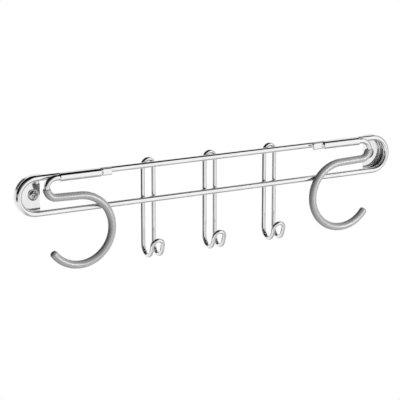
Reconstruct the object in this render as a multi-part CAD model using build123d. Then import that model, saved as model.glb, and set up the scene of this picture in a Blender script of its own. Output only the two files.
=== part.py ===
"""Wall-mount mop holder: a bright wire frame with three coat hooks and two coated swing hooks.

The frame is one closed loop of round wire.  A dished sheet plate behind each round end stands it
off the wall and takes one screw.  Three coat hooks, bent from thinner wire, are welded across the
back of both rails.  A short tube on the front of the upper rail, near each end, is the hinge of a
swing hook, whose large open ring hangs against the lower rail and lifts to grip a handle.

Millimetres.  The wall is the plane Y = 0 and the holder stands in front of it, towards -Y.
X runs along the rails, Z is up, and the origin lies midway between the two screws.
"""
import os
from math import asin, cos, degrees, radians, sin

from build123d import *

# Frame loop
RAIL_SPACING = 36.0         # upper to lower rail, centre-lines
FRAME_LENGTH = 433.0        # over the two round ends
FRAME_WIRE = 6.0            # wire diameter
WALL_STANDOFF = 7.5         # wall to the rail centre-lines

# Wall plates
PLATE_SHEET = 1.2           # sheet thickness
PLATE_BEND = 3.5            # outer radius between the back and the rim
PLATE_REACH = 7.1           # from the screw in to the straight edge
RIM_INSET = 0.4             # outside of the rim, short of the outside of the frame wire
RIM_LAP = 1.5               # how far the rim reaches forward beside the frame wire

# Wall screws
SCREW_THREAD = 4.6          # diameter over the thread
SCREW_NECK = 3.8            # diameter of the plain neck where it passes through the plate
SCREW_LENGTH = 32.0         # under the head
SCREW_POINT = 7.0           # length of the tapered point
SCREW_HEAD = 11.5           # diameter
SCREW_HEAD_HEIGHT = 3.6     # over the dome
SCREW_HEAD_EDGE = 0.9       # height of the straight side of the head
SCREW_HOLE_PLAY = 0.6       # hole in the plate over the thread diameter
RECESS_SPAN = 6.0           # across the cross recess at the crown
RECESS_SLOT = 1.5           # width of its arms
RECESS_DEPTH = 2.4          # below the crown of the head

# Coat hooks
COAT_HOOK_WIRE = 4.4        # wire diameter
COAT_HOOK_PITCH = 70.6      # from hook to hook along the rails
COAT_HOOK_WIDTH = 12.0      # between the centre-lines of the two legs
COAT_HOOK_CREST = 4.6       # top bend above the upper rail, centre-lines
COAT_HOOK_DROP = 57.0       # lower rail to the bottom of the hook, centre-lines
COAT_HOOK_BEND = 9.7        # centre-line radius of the forward bend
COAT_HOOK_TURN = 163.0      # degrees, swept by the forward bend
COAT_HOOK_RISE = 5.5        # straight rise from the forward bend to the tip's bend

# Hinge tubes
HINGE_TUBE_LENGTH = 44.0
HINGE_TUBE_INSET = 44.5     # from the middle of the tube out to the screw
HINGE_TUBE_WALL = 1.15
HINGE_TUBE_EDGE = 0.4       # rounding of the tube's outer ends
HINGE_CLEARANCE = 0.10      # radial, shank in tube

# Swing hooks
SWING_WIRE = 6.0            # wire diameter
SHANK_FLOAT = 3.7           # bare shank between the tube and the bend
BEND_RADIUS = 10.0          # tight bend back under the tube, centre-line
RETURN_RUN = 25.7           # straight run from the tight bend to the ring
RETURN_FALL = 1.7           # degrees, slope of that run
RING_RADIUS = 35.3          # open ring, centre-line
RING_TURN = 230.0           # degrees, swept by the ring
STUB_NECK = 2.9             # round wire easing into the flattened end
STUB_FLAT = 9.5             # length of the flattened end
STUB_WIDTH = 7.5            # across the flattened end
STUB_THICKNESS = 3.6
STUB_EDGE = 0.8             # rounding of the flattened end's tip

# Grip coats
COAT_THICKNESS = 1.0
COAT_START = 92.0           # degrees into the tight bend
COAT_TIP = 3.5              # past the end of the wire
COAT_TIP_ROUND = 2.6        # rounding of the tip
COAT_LIP_ROUND = 0.6        # rounding where the coat starts

# Fits
WELD_SINK = 0.2             # how far welded wires sink into one another
SEAT_GAP = 0.04             # between faces that are welded together
REST_GAP = 0.3              # resting hook to the lower rail

# Places that follow from the sizes above
FRAME_R = FRAME_WIRE / 2
END_R = RAIL_SPACING / 2
END_X = FRAME_LENGTH / 2 - FRAME_R - END_R
RAIL_Y = -WALL_STANDOFF
PLATE_R = END_R + FRAME_R - RIM_INSET
PLATE_DEPTH = WALL_STANDOFF - FRAME_R + RIM_LAP
LEG_Y = RAIL_Y + FRAME_R + COAT_HOOK_WIRE / 2 - WELD_SINK
TUBE_BORE = SWING_WIRE + 2 * HINGE_CLEARANCE
TUBE_OUTER = TUBE_BORE + 2 * HINGE_TUBE_WALL
AXIS_FORWARD = FRAME_R + TUBE_OUTER / 2 - WELD_SINK
AXIS_Y = RAIL_Y - AXIS_FORWARD
AXIS_Z = RAIL_SPACING / 2
COAT_R = SWING_WIRE / 2 + COAT_THICKNESS
HINGE_TUBE_CENTRE = END_X - HINGE_TUBE_INSET
BEND_START_X = HINGE_TUBE_CENTRE + HINGE_TUBE_LENGTH / 2 + SHANK_FLOAT
TUBE_INNER_X = HINGE_TUBE_CENTRE - HINGE_TUBE_LENGTH / 2
LEAN = degrees(asin(max(0.0, FRAME_R + COAT_R + REST_GAP - AXIS_FORWARD) / RAIL_SPACING))


def round_bar(path, diameter):
    """Wire of the given diameter along a path of straight runs and tangent arcs."""
    section = Plane(origin=path @ 0, z_dir=path % 0) * Circle(diameter / 2)
    return sweep(section, path=path)


def frame_bar(diameter):
    """The closed loop of the frame, as a bar of any diameter on the frame's centre-line."""
    outline = Plane((0, RAIL_Y, 0), x_dir=(1, 0, 0), z_dir=(0, -1, 0)) * SlotOverall(
        FRAME_LENGTH - FRAME_WIRE, RAIL_SPACING
    )
    return round_bar(outline.wire(), diameter)


def wall_plate(frame_clearance):
    """Right-hand dished plate: half a round dish and a short straight stretch to its open edge."""
    sheet = Polyline(
        (0, 0), (PLATE_R, 0), (PLATE_R, PLATE_DEPTH), (PLATE_R - PLATE_SHEET, PLATE_DEPTH),
        (PLATE_R - PLATE_SHEET, PLATE_SHEET), (0, PLATE_SHEET), close=True,
    )
    section = make_face(sheet)
    section = fillet(section.vertices().sort_by_distance((PLATE_R, 0))[0], PLATE_BEND)
    inner_corner = (PLATE_R - PLATE_SHEET, PLATE_SHEET)
    section = fillet(section.vertices().sort_by_distance(inner_corner)[0], PLATE_BEND - PLATE_SHEET)
    upright = Plane((END_X, 0, 0), x_dir=(0, 0, 1), z_dir=(1, 0, 0))
    upper = upright * section
    screw_axis = Axis((END_X, 0, 0), (0, 1, 0))
    dish = revolve(upper, axis=screw_axis, revolution_arc=180)
    stretch = extrude(upper, amount=-PLATE_REACH)
    stretch += mirror(stretch, about=Plane.XY)
    hole_r = (SCREW_THREAD + SCREW_HOLE_PLAY) / 2
    hole = Pos(END_X, 0, 0) * Rot(90, 0, 0) * Cylinder(hole_r, 4 * PLATE_SHEET)
    return dish + stretch - hole - frame_clearance


def wall_screw():
    """Dome-headed screw on the Y axis, its head seated on the inside of the plate."""
    neck_r = SCREW_NECK / 2
    thread_r = SCREW_THREAD / 2
    head_r = SCREW_HEAD / 2
    side = Polyline(
        (head_r, -SCREW_HEAD_EDGE), (head_r, 0), (neck_r, 0), (neck_r, PLATE_SHEET),
        (thread_r, PLATE_SHEET), (thread_r, SCREW_LENGTH - SCREW_POINT), (0, SCREW_LENGTH),
        (0, -SCREW_HEAD_HEIGHT),
    )
    dome = TangentArc((0, -SCREW_HEAD_HEIGHT), (head_r, -SCREW_HEAD_EDGE), tangent=(1, 0))
    profile = make_face(side + dome)
    screw = revolve(profile, axis=Axis.Y)
    floor = RECESS_DEPTH - SCREW_HEAD_HEIGHT
    wedge = Polyline(
        (-RECESS_SPAN / 2, -SCREW_HEAD_HEIGHT), (RECESS_SPAN / 2, -SCREW_HEAD_HEIGHT),
        (RECESS_SLOT / 2, floor), (-RECESS_SLOT / 2, floor), close=True,
    )
    arm = extrude(make_face(wedge), amount=RECESS_SLOT / 2, both=True)
    return Pos(0, -PLATE_SHEET, 0) * (screw - arm - Rot(0, 90, 0) * arm)


def coat_hook(frame_clearance):
    """Closed hairpin of wire: a bend over the top, two legs behind the rails, a double forward hook."""
    half = COAT_HOOK_WIDTH / 2
    crest = RAIL_SPACING / 2 + COAT_HOOK_CREST
    bend_z = -RAIL_SPACING / 2 - COAT_HOOK_DROP + COAT_HOOK_BEND
    shoulder = crest - half
    top = JernArc((0, crest), (1, 0), half, -90)
    front = Plane((0, LEG_Y, 0), x_dir=(1, 0, 0), z_dir=(0, -1, 0))
    top = front * top
    leg = Line((half, LEG_Y, shoulder), (half, LEG_Y, bend_z))
    side = Plane((half, LEG_Y, bend_z), x_dir=(0, -1, 0), z_dir=(-1, 0, 0))
    forward = side * JernArc((0, 0), (0, -1), COAT_HOOK_BEND, COAT_HOOK_TURN)
    upwards = forward % 1
    rise = Line(forward @ 1, forward @ 1 + upwards * COAT_HOOK_RISE)
    tip_plane = Plane(rise @ 1, x_dir=(-1, 0, 0), z_dir=Vector(-1, 0, 0).cross(upwards))
    tip = tip_plane * JernArc((0, 0), (0, 1), half, -90)
    runs = (top, leg, forward, rise, tip)
    bar = round_bar(Wire([run.edge() for run in runs]), COAT_HOOK_WIRE)
    return bar + mirror(bar, about=Plane.YZ) - frame_clearance


def hinge_tube(frame_clearance):
    """Right-hand tube along the front of the upper rail, grooved where it is welded on."""
    outside = Cylinder(TUBE_OUTER / 2, HINGE_TUBE_LENGTH)
    outside = fillet(outside.edges().filter_by(GeomType.CIRCLE), HINGE_TUBE_EDGE)
    tube = outside - Cylinder(TUBE_BORE / 2, HINGE_TUBE_LENGTH)
    placed = Pos(HINGE_TUBE_CENTRE, AXIS_Y, AXIS_Z) * Rot(0, 90, 0) * tube
    return placed - frame_clearance


def swing_path(from_bend=0.0):
    """Centre-line of a swing hook from the given angle in its tight bend to the end of the ring.

    Drawn flat, with x outwards along the hinge axis and y up, from the start of the bend.
    """
    sweep_angle = 180 - RETURN_FALL
    start = radians(from_bend)
    first = (BEND_RADIUS * sin(start), BEND_RADIUS * (cos(start) - 1))
    bend = JernArc(first, (cos(start), -sin(start)), BEND_RADIUS, from_bend - sweep_angle)
    run = PolarLine(bend @ 1, RETURN_RUN, direction=bend % 1)
    ring = JernArc(run @ 1, run % 1, RING_RADIUS, RING_TURN)
    return bend, run, ring


def on_hinge(shape):
    """Moves a flat-drawn hook shape to the right-hand hinge axis, leaning on the lower rail."""
    hook_plane = Plane((BEND_START_X, AXIS_Y, AXIS_Z), x_dir=(1, 0, 0), z_dir=(0, -1, 0))
    return hook_plane * Rot(-LEAN, 0, 0) * shape


def swing_hook():
    """Bare wire of the right-hand swing hook, with its flattened inner end, drawn flat."""
    bend, run, ring = swing_path()
    neck_x = TUBE_INNER_X - BEND_START_X
    shank = Line((neck_x, 0), (0, 0))
    bar = round_bar(Wire([shank.edge(), bend.edge(), run.edge(), ring.edge()]), SWING_WIRE)
    inwards = Plane((neck_x, 0, 0), x_dir=(0, 1, 0), z_dir=(-1, 0, 0))
    flat = inwards.offset(STUB_NECK) * SlotOverall(STUB_WIDTH, STUB_THICKNESS)
    neck = loft([inwards * Circle(SWING_WIRE / 2), flat])
    paddle = extrude(flat, amount=STUB_FLAT)
    tip = paddle.faces().sort_by_distance(inwards.offset(STUB_NECK + STUB_FLAT).origin)[0]
    paddle = fillet(tip.edges(), STUB_EDGE)
    return bar + neck + paddle


def grip_coat(hook):
    """Dipped coat of the right-hand swing hook, drawn flat: a close sleeve with a blunt tip."""
    bend, run, ring = swing_path(COAT_START)
    body = round_bar(Wire([bend.edge(), run.edge(), ring.edge()]), 2 * COAT_R)
    lip = body.faces().filter_by(GeomType.PLANE).sort_by_distance(bend @ 0)[0]
    body = fillet(lip.edges(), COAT_LIP_ROUND)
    end = Plane(ring @ 1, z_dir=ring % 1)
    tip = extrude(end * Circle(COAT_R), amount=COAT_TIP)
    tip_face = tip.faces().sort_by_distance(end.offset(COAT_TIP).origin)[0]
    tip = fillet(tip_face.edges(), COAT_TIP_ROUND)
    return body + tip - hook


def save(node, shape):
    """Writes one sub-part."""
    shape.label = node
    export_step(shape, os.path.join("parts", node + ".step"))


def save_pair(name, right_shape):
    """Writes a right-hand sub-part and its mirror image."""
    save("right_" + name, right_shape)
    save("left_" + name, mirror(right_shape, about=Plane.YZ))


def main():
    os.makedirs("parts", exist_ok=True)
    clearance = frame_bar(FRAME_WIRE + 2 * SEAT_GAP)
    save("frame_loop", frame_bar(FRAME_WIRE))
    save_pair("wall_plate", wall_plate(clearance))
    save_pair("wall_screw", Pos(END_X, 0, 0) * wall_screw())
    hook = coat_hook(clearance)
    for place, step in (("left", -1), ("middle", 0), ("right", 1)):
        save(place + "_coat_hook", Pos(step * COAT_HOOK_PITCH, 0, 0) * hook)
    save_pair("hinge_tube", hinge_tube(clearance))
    wire = swing_hook()
    save_pair("swing_hook", on_hinge(wire))
    save_pair("grip_coat", on_hinge(grip_coat(wire)))


main()
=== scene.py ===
"""Looks of the wall-mount mop holder: bright wire frame, coat hooks and coated swing hooks."""
import math

import bmesh
import bpy
from mathutils import Matrix, Vector


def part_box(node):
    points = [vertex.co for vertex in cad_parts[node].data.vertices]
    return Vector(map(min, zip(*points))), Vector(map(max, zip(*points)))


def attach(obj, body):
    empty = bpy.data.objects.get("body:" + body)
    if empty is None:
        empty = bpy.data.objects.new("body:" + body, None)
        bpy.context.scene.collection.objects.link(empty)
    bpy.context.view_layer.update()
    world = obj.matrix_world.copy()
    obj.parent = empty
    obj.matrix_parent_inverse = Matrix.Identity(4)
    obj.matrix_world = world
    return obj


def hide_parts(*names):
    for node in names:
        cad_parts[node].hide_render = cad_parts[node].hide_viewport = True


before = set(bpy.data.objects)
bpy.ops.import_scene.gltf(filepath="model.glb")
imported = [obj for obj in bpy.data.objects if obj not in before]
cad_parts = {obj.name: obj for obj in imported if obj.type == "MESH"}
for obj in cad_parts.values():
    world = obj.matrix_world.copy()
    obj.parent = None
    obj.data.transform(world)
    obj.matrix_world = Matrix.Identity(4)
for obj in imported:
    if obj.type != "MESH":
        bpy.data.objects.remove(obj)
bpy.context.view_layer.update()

SIDES = ("left", "right")
COAT_HOOKS = ("left", "middle", "right")

# Lengths are in metres. Azimuths are in degrees, 0 towards the room and 90 to the right.

# Camera at the photograph's angle; lens and sensor in millimetres
CAMERA_TARGET = Vector((-0.01381, -0.0075, -0.02581))
CAMERA_AZIMUTH = -27.94
CAMERA_ELEVATION = 14.52
CAMERA_DISTANCE = 1.850
CAMERA_LENS = 162.2
SENSOR_WIDTH = 36.0
CLIP_NEAR, CLIP_FAR = 0.05, 20.0

# Studio: levels of light round the horizon by azimuth, a dark upper left, a dark ceiling,
# a pale floor and pale cards low on the left. Spans are in parts of a unit direction.
HORIZON = (
    (-180, 0.92), (-144, 0.92), (-138, 0.08), (-88, 0.10), (-62, 0.22), (-44, 0.85), (-16, 1.0),
    (-5, 0.60), (9, 0.60), (17, 1.0), (48, 1.0), (62, 0.48), (92, 0.48), (112, 0.80), (180, 0.92),
)
DARK_SIDE = Vector((-0.62, 0.0, 0.78)).normalized()
DARK_SPAN = (0.27, 0.37)
DARK_LEVEL = 0.08
CEILING_SPAN = (0.70, 0.80)
FLOOR_SPAN = (-0.45, -0.85)
FLOOR_LEVEL = 0.62
# Each card: x where it starts and is full, z where its bottom does, z where its top does, level
CARDS = (
    ((-0.50, -0.65), (-0.19, -0.12), (0.10, 0.02), 0.30),
    ((-0.05, -0.30), (-2.0, -1.9), (-0.34, -0.46), 0.85),
)

# White wall and floor
STAGE_HALF = 3.0
WALL_GAP = 0.0002
FLOOR_Z = -0.6

# Soft lamp for the coats; power in watts
LAMP_AZIMUTH = 28.0
LAMP_ELEVATION = 4.0
LAMP_DISTANCE = 2.0
LAMP_SIZE = 0.3
LAMP_POWER = 31.0

# Finishes: the part of a noise that is spread over a range, and the height of the finest relief
NOISE_SPAN = (0.3, 0.7)
CLOUD_SPAN = (0.35, 0.65)
POLISH_FINENESS = 6.0
RELIEF_FINENESS = 9.0
RELIEF_STRENGTH = 0.05
METAL_RELIEF = 0.00004
COAT_RELIEF = 0.00005
COAT_SPECULAR = 0.75
COAT_GREYS = (0.315, 0.345)
COAT_ROUGHNESS = (0.36, 0.40)

# Edges of the added pieces that are bent more than this stay sharp
SHARP_ANGLE = math.radians(40)

# Wall screws: the thread, its shape as shares of the pitch or depth, and the point
THREAD_RADIUS = 0.0023
THREAD_PITCH = 0.0018
THREAD_DEPTH = 0.00062
THREAD_HALF_WIDTH = 0.34
THREAD_ROWS_PER_PITCH = 10
THREAD_SIDES = 36
POINT_LENGTH = 0.007
POINT_RADIUS = 0.00002
POINT_DEPTH_SHARE = 0.35
POINT_RUN_OUT = 0.25
WALL_TOLERANCE = 0.00001

# Wall plates: outer radius of the bend at the back, and how square it is pressed
PLATE_BEND = 0.0035
CORNER_POWER = 6.0

# Welds of the coat hooks
RAIL_WIRE = 0.006
COAT_HOOK_WIRE = 0.0044
WELD_SPAN = 0.0023
WELD_DEPTH = 0.0010
WELD_SEGMENTS, WELD_BANDS = 28, 16


def new_tree(owner, output_type):
    """Empty node tree of a material or a world, and the surface socket of its output."""
    owner.use_nodes = True
    tree = owner.node_tree
    tree.nodes.clear()
    return tree, tree.nodes.new(output_type).inputs["Surface"]


def new_object(name, data):
    """An object in the scene."""
    obj = bpy.data.objects.new(name, data)
    bpy.context.scene.collection.objects.link(obj)
    return obj


def direction(azimuth, elevation):
    """Unit vector from the object."""
    a, e = math.radians(azimuth), math.radians(elevation)
    return Vector((math.sin(a) * math.cos(e), -math.cos(a) * math.cos(e), math.sin(e)))


def noise(tree, scale, detail):
    """Noise in the object's own coordinates."""
    place = tree.nodes.new("ShaderNodeTexCoord")
    texture = tree.nodes.new("ShaderNodeTexNoise")
    texture.inputs["Scale"].default_value = scale
    texture.inputs["Detail"].default_value = detail
    tree.links.new(place.outputs["Object"], texture.inputs["Vector"])
    return texture.outputs["Fac"]


def ramp(tree, factor, stops):
    """Grey ramp over a factor; stops are (position, grey)."""
    node = tree.nodes.new("ShaderNodeValToRGB")
    elements = node.color_ramp.elements
    while len(elements) < len(stops):
        elements.new(0.5)
    for element, (position, grey) in zip(elements, stops):
        element.position = position
        element.color = (grey, grey, grey, 1.0)
    tree.links.new(factor, node.inputs["Fac"])
    return node.outputs["Color"]


def map_range(tree, value, span, levels, interpolation="LINEAR"):
    """Spreads the span of a value over two levels."""
    node = tree.nodes.new("ShaderNodeMapRange")
    node.interpolation_type = interpolation
    node.inputs["From Min"].default_value, node.inputs["From Max"].default_value = span
    node.inputs["To Min"].default_value, node.inputs["To Max"].default_value = levels
    tree.links.new(value, node.inputs["Value"])
    return node.outputs["Result"]


def soft_step(tree, value, span, levels):
    """Level that eases from one value to another."""
    return map_range(tree, value, span, levels, "SMOOTHSTEP")


def combine(tree, operation, first, second):
    """Math over two values, each a socket or a number."""
    node = tree.nodes.new("ShaderNodeMath")
    node.operation = operation
    for socket, value in zip(node.inputs, (first, second)):
        if isinstance(value, float):
            socket.default_value = value
        else:
            tree.links.new(value, socket)
    return node.outputs["Value"]


def mix_shaders(tree, factor, first, second):
    """The first shader where the factor is 0, the second where it is 1."""
    node = tree.nodes.new("ShaderNodeMixShader")
    for socket, source in zip(node.inputs, (factor, first, second)):
        tree.links.new(source, socket)
    return node.outputs["Shader"]


def finish_material(name, tone_noise, tone_stops, sheen_noise, roughness, relief_noise, relief):
    """Cloudy tone, uneven sheen and a faint relief; each noise is (scale, detail)."""
    material = bpy.data.materials.new(name)
    tree, surface = new_tree(material, "ShaderNodeOutputMaterial")
    shader = tree.nodes.new("ShaderNodeBsdfPrincipled")
    tree.links.new(shader.outputs["BSDF"], surface)
    tree.links.new(ramp(tree, noise(tree, *tone_noise), tone_stops), shader.inputs["Base Color"])
    sheen = map_range(tree, noise(tree, *sheen_noise), NOISE_SPAN, roughness)
    tree.links.new(sheen, shader.inputs["Roughness"])
    bump = tree.nodes.new("ShaderNodeBump")
    bump.inputs["Strength"].default_value = RELIEF_STRENGTH
    bump.inputs["Distance"].default_value = relief
    tree.links.new(noise(tree, *relief_noise), bump.inputs["Height"])
    tree.links.new(bump.outputs["Normal"], shader.inputs["Normal"])
    return material, shader


def metal(name, greys, roughness, scale):
    """Plated metal: cloudy tone, uneven polish and a trace of waviness."""
    material, shader = finish_material(name, (scale, 4.0), list(zip(CLOUD_SPAN, greys)),
                                       (scale * POLISH_FINENESS, 5.0), roughness,
                                       (scale * RELIEF_FINENESS, 2.0), METAL_RELIEF)
    shader.inputs["Metallic"].default_value = 1.0
    return material


def dipped_coat(name):
    """Grey satin dipped plastic: even tone, soft sheen and a faint orange peel."""
    material, shader = finish_material(name, (90.0, 5.0), list(zip(NOISE_SPAN, COAT_GREYS)),
                                       (60.0, 3.0), COAT_ROUGHNESS, (700.0, 2.0), COAT_RELIEF)
    shader.inputs["Specular IOR Level"].default_value = COAT_SPECULAR
    return material


chrome = metal("chrome_wire", (0.86, 0.92), (0.035, 0.075), 55.0)
plate_metal = metal("chrome_plate", (0.80, 0.88), (0.05, 0.09), 70.0)
screw_metal = metal("screw_zinc", (0.60, 0.70), (0.09, 0.15), 160.0)
coat = dipped_coat("grip_coat_satin")


def dress(node, material):
    """Gives a CAD node its finish."""
    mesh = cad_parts[node].data
    mesh.materials.clear()
    mesh.materials.append(material)


for side in SIDES:
    dress(side + "_hinge_tube", chrome)
    dress(side + "_swing_hook", chrome)
    dress(side + "_grip_coat", coat)
for place in COAT_HOOKS:
    dress(place + "_coat_hook", chrome)
dress("frame_loop", chrome)


def smooth_piece(name, mesh, material, sharp_angle=None):
    """Makes a smooth object of a bmesh, with its finish."""
    data = bpy.data.meshes.new(name)
    mesh.to_mesh(data)
    mesh.free()
    data.materials.append(material)
    for polygon in data.polygons:
        polygon.use_smooth = True
    if sharp_angle:
        data.set_sharp_from_angle(angle=sharp_angle)
    return new_object(name, data)


def bridge(mesh, rings):
    """Faces between each ring of vertices and the next."""
    for first, second in zip(rings, rings[1:]):
        for k in range(len(first)):
            n = (k + 1) % len(first)
            mesh.faces.new((first[k], first[n], second[n], second[k]))


def thread_rows(length):
    """Rows of (distance from the wall, radius to the crest, thread depth) down a screw."""
    count = int(length / THREAD_PITCH * THREAD_ROWS_PER_PITCH)
    for row in range(count + 1):
        along = length * row / count
        taper = min(1.0, (length - along) / POINT_LENGTH)
        run_in = min(1.0, along / THREAD_PITCH)
        run_out = min(1.0, taper / POINT_RUN_OUT)
        share = POINT_DEPTH_SHARE + (1.0 - POINT_DEPTH_SHARE) * taper
        yield along, THREAD_RADIUS * taper, THREAD_DEPTH * run_in * share * run_out


def wall_screw(side):
    """The screw's own head and neck, with a cut thread in place of the plain shank."""
    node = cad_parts[side + "_wall_screw"]
    low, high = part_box(side + "_wall_screw")
    axis_x, axis_z = (low.x + high.x) / 2, (low.z + high.z) / 2
    mesh = bmesh.new()
    mesh.from_mesh(node.data)
    shank = [face for face in mesh.faces if face.calc_center_median().y > -WALL_TOLERANCE]
    bmesh.ops.delete(mesh, geom=shank, context="FACES")
    rings = []
    for along, crest, depth in thread_rows(high.y):
        ring = []
        for k in range(THREAD_SIDES):
            turn = k / THREAD_SIDES
            phase = (along / THREAD_PITCH - turn) % 1.0
            ridge = max(0.0, 1.0 - abs(phase - 0.5) / THREAD_HALF_WIDTH)
            r = max(POINT_RADIUS, crest - depth * (1.0 - ridge))
            angle = 2.0 * math.pi * turn
            place = (axis_x + r * math.cos(angle), along, axis_z + r * math.sin(angle))
            ring.append(mesh.verts.new(place))
        rings.append(ring)
    bridge(mesh, rings)
    mesh.faces.new(rings[0])
    mesh.faces.new(list(reversed(rings[-1])))
    bmesh.ops.recalc_face_normals(mesh, faces=mesh.faces)
    piece = smooth_piece(side + "_threaded_screw", mesh, screw_metal, SHARP_ANGLE)
    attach(piece, "rack")
    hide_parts(side + "_wall_screw")


def formed_plate(side):
    """The wall plate with its back corner pressed sharper than a plain round bend."""
    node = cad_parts[side + "_wall_plate"]
    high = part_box(side + "_wall_plate")[1]
    screw_low, screw_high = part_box(side + "_wall_screw")
    axis_x = (screw_low.x + screw_high.x) / 2
    outward = 1.0 if axis_x > 0.0 else -1.0
    mesh = bmesh.new()
    mesh.from_mesh(node.data)
    for vert in mesh.verts:
        out = Vector((max(0.0, outward * (vert.co.x - axis_x)), vert.co.z))
        reach = out.length
        across = reach - (high.z - PLATE_BEND)
        back = PLATE_BEND - (high.y - vert.co.y)
        if across <= 0.0 or back <= 0.0:
            continue
        radius = math.hypot(across, back)
        norm = (across / radius) ** CORNER_POWER + (back / radius) ** CORNER_POWER
        scale = norm ** (-1.0 / CORNER_POWER)
        step = out * ((reach + across * (scale - 1.0)) / reach) - out
        vert.co.x += outward * step.x
        vert.co.y += back * (scale - 1.0)
        vert.co.z += step.y
    piece = smooth_piece(side + "_formed_plate", mesh, plate_metal, SHARP_ANGLE)
    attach(piece, "rack")
    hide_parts(side + "_wall_plate")


def add_bead(mesh, centre):
    """Adds a flattened ball with its poles up and down, its vertices in the same order each run."""
    rings = []
    for row in range(1, WELD_BANDS):
        tilt = math.pi * row / WELD_BANDS
        ring = []
        for k in range(WELD_SEGMENTS):
            turn = 2.0 * math.pi * k / WELD_SEGMENTS
            step = Vector((WELD_SPAN * math.sin(tilt) * math.cos(turn),
                           WELD_DEPTH * math.sin(tilt) * math.sin(turn), WELD_SPAN * math.cos(tilt)))
            ring.append(mesh.verts.new(centre + step))
        rings.append(ring)
    bridge(mesh, rings)
    for ring, height in ((rings[0], WELD_SPAN), (rings[-1], -WELD_SPAN)):
        pole = mesh.verts.new(centre + Vector((0.0, 0.0, height)))
        for k in range(WELD_SEGMENTS):
            mesh.faces.new((pole, ring[k], ring[(k + 1) % WELD_SEGMENTS]))


def weld_beads(place):
    """Low beads where the legs of a coat hook are welded to the back of the rails."""
    hook_low, hook_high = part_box(place + "_coat_hook")
    rail_low, rail_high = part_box("frame_loop")
    mesh = bmesh.new()
    for x in (hook_low.x + COAT_HOOK_WIRE / 2, hook_high.x - COAT_HOOK_WIRE / 2):
        for z in (rail_low.z + RAIL_WIRE / 2, rail_high.z - RAIL_WIRE / 2):
            add_bead(mesh, Vector((x, rail_high.y, z)))
    bmesh.ops.recalc_face_normals(mesh, faces=mesh.faces)
    piece = smooth_piece(place + "_coat_hook_welds", mesh, chrome)
    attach(piece, "rack")


for side in SIDES:
    wall_screw(side)
for side in SIDES:
    formed_plate(side)
for place in COAT_HOOKS:
    weld_beads(place)


def stage_card(name, corners):
    """Flat white card for the camera alone: it is open from behind and takes no part in the light."""
    data = bpy.data.meshes.new(name)
    data.from_pydata(corners, [], [(0, 1, 2, 3)])
    obj = new_object(name, data)
    material = bpy.data.materials.new(name + "_white")
    tree, surface = new_tree(material, "ShaderNodeOutputMaterial")
    white = tree.nodes.new("ShaderNodeEmission").outputs["Emission"]
    clear = tree.nodes.new("ShaderNodeBsdfTransparent").outputs["BSDF"]
    behind = tree.nodes.new("ShaderNodeNewGeometry").outputs["Backfacing"]
    tree.links.new(mix_shaders(tree, behind, white, clear), surface)
    data.materials.append(material)
    obj.visible_diffuse = False
    obj.visible_glossy = False
    obj.visible_transmission = False
    obj.visible_shadow = False


stage_card("stage_wall", [(-STAGE_HALF, WALL_GAP, FLOOR_Z), (STAGE_HALF, WALL_GAP, FLOOR_Z),
                          (STAGE_HALF, WALL_GAP, STAGE_HALF), (-STAGE_HALF, WALL_GAP, STAGE_HALF)])
stage_card("stage_floor", [(-STAGE_HALF, -STAGE_HALF, FLOOR_Z), (STAGE_HALF, -STAGE_HALF, FLOOR_Z),
                           (STAGE_HALF, STAGE_HALF, FLOOR_Z), (-STAGE_HALF, STAGE_HALF, FLOOR_Z)])


def studio_level(tree):
    """Level of light from each direction, as the studio's values say."""
    ray = tree.nodes.new("ShaderNodeTexCoord").outputs["Generated"]
    split = tree.nodes.new("ShaderNodeSeparateXYZ")
    tree.links.new(ray, split.inputs["Vector"])
    x, y, z = split.outputs
    towards_dark = tree.nodes.new("ShaderNodeVectorMath")
    towards_dark.operation = "DOT_PRODUCT"
    towards_dark.inputs[1].default_value = DARK_SIDE
    tree.links.new(ray, towards_dark.inputs[0])
    azimuth = combine(tree, "ARCTAN2", x, combine(tree, "MULTIPLY", y, -1.0))
    turn = map_range(tree, azimuth, (-math.pi, math.pi), (0.0, 1.0))
    level = soft_step(tree, towards_dark.outputs["Value"], DARK_SPAN, (1.0, DARK_LEVEL))
    for shade in (soft_step(tree, z, CEILING_SPAN, (1.0, DARK_LEVEL)),
                  soft_step(tree, z, FLOOR_SPAN, (1.0, FLOOR_LEVEL)),
                  ramp(tree, turn, [((degrees + 180.0) / 360.0, grey) for degrees, grey in HORIZON])):
        level = combine(tree, "MULTIPLY", level, shade)
    for side, bottom, top, card_level in CARDS:
        upright = combine(tree, "MULTIPLY", soft_step(tree, z, bottom, (0.0, 1.0)),
                          soft_step(tree, z, top, (0.0, 1.0)))
        card = combine(tree, "MULTIPLY", soft_step(tree, x, side, (0.0, card_level)), upright)
        level = combine(tree, "MAXIMUM", level, card)
    return level


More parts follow.
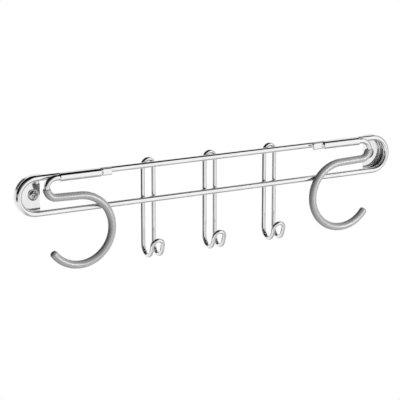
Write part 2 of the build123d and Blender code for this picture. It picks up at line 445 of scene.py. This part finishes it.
def studio_world():
    """White to the camera; round the object the levels of the studio."""
    world = bpy.data.worlds.new("studio")
    bpy.context.scene.world = world
    tree, surface = new_tree(world, "ShaderNodeOutputWorld")
    studio = tree.nodes.new("ShaderNodeBackground")
    backdrop = tree.nodes.new("ShaderNodeBackground")
    for background in (studio, backdrop):
        background.inputs["Color"].default_value = (1.0, 1.0, 1.0, 1.0)
    tree.links.new(studio_level(tree), studio.inputs["Strength"])
    seen = tree.nodes.new("ShaderNodeLightPath").outputs["Is Camera Ray"]
    mixed = mix_shaders(tree, seen, studio.outputs["Background"], backdrop.outputs["Background"])
    tree.links.new(mixed, surface)


def soft_lamp(name, lit):
    """Square soft light aimed at the middle of the object, for the given pieces only."""
    data = bpy.data.lights.new(name, "AREA")
    data.shape = "SQUARE"
    data.size = LAMP_SIZE
    data.energy = LAMP_POWER
    obj = new_object(name, data)
    towards = direction(LAMP_AZIMUTH, LAMP_ELEVATION)
    obj.location = CAMERA_TARGET + towards * LAMP_DISTANCE
    obj.rotation_mode = "QUATERNION"
    obj.rotation_quaternion = towards.to_track_quat("Z", "Y")
    obj.light_linking.receiver_collection = bpy.data.collections.new(name + "_lit")
    for piece in lit:
        obj.light_linking.receiver_collection.objects.link(piece)


def photo_camera():
    """Long lens from the left and a little above."""
    data = bpy.data.cameras.new("photo_camera")
    data.sensor_width = SENSOR_WIDTH
    data.lens = CAMERA_LENS
    data.clip_start, data.clip_end = CLIP_NEAR, CLIP_FAR
    obj = new_object("photo_camera", data)
    back = direction(CAMERA_AZIMUTH, CAMERA_ELEVATION)
    right = (-back).cross(Vector((0, 0, 1))).normalized()
    turn = Matrix((right, right.cross(-back), back)).transposed()
    obj.matrix_world = Matrix.Translation(CAMERA_TARGET + back * CAMERA_DISTANCE) @ turn.to_4x4()
    bpy.context.scene.camera = obj


studio_world()
soft_lamp("key_softbox", [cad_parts[side + "_grip_coat"] for side in SIDES])
photo_camera()
bpy.context.scene.view_settings.view_transform = "Standard"
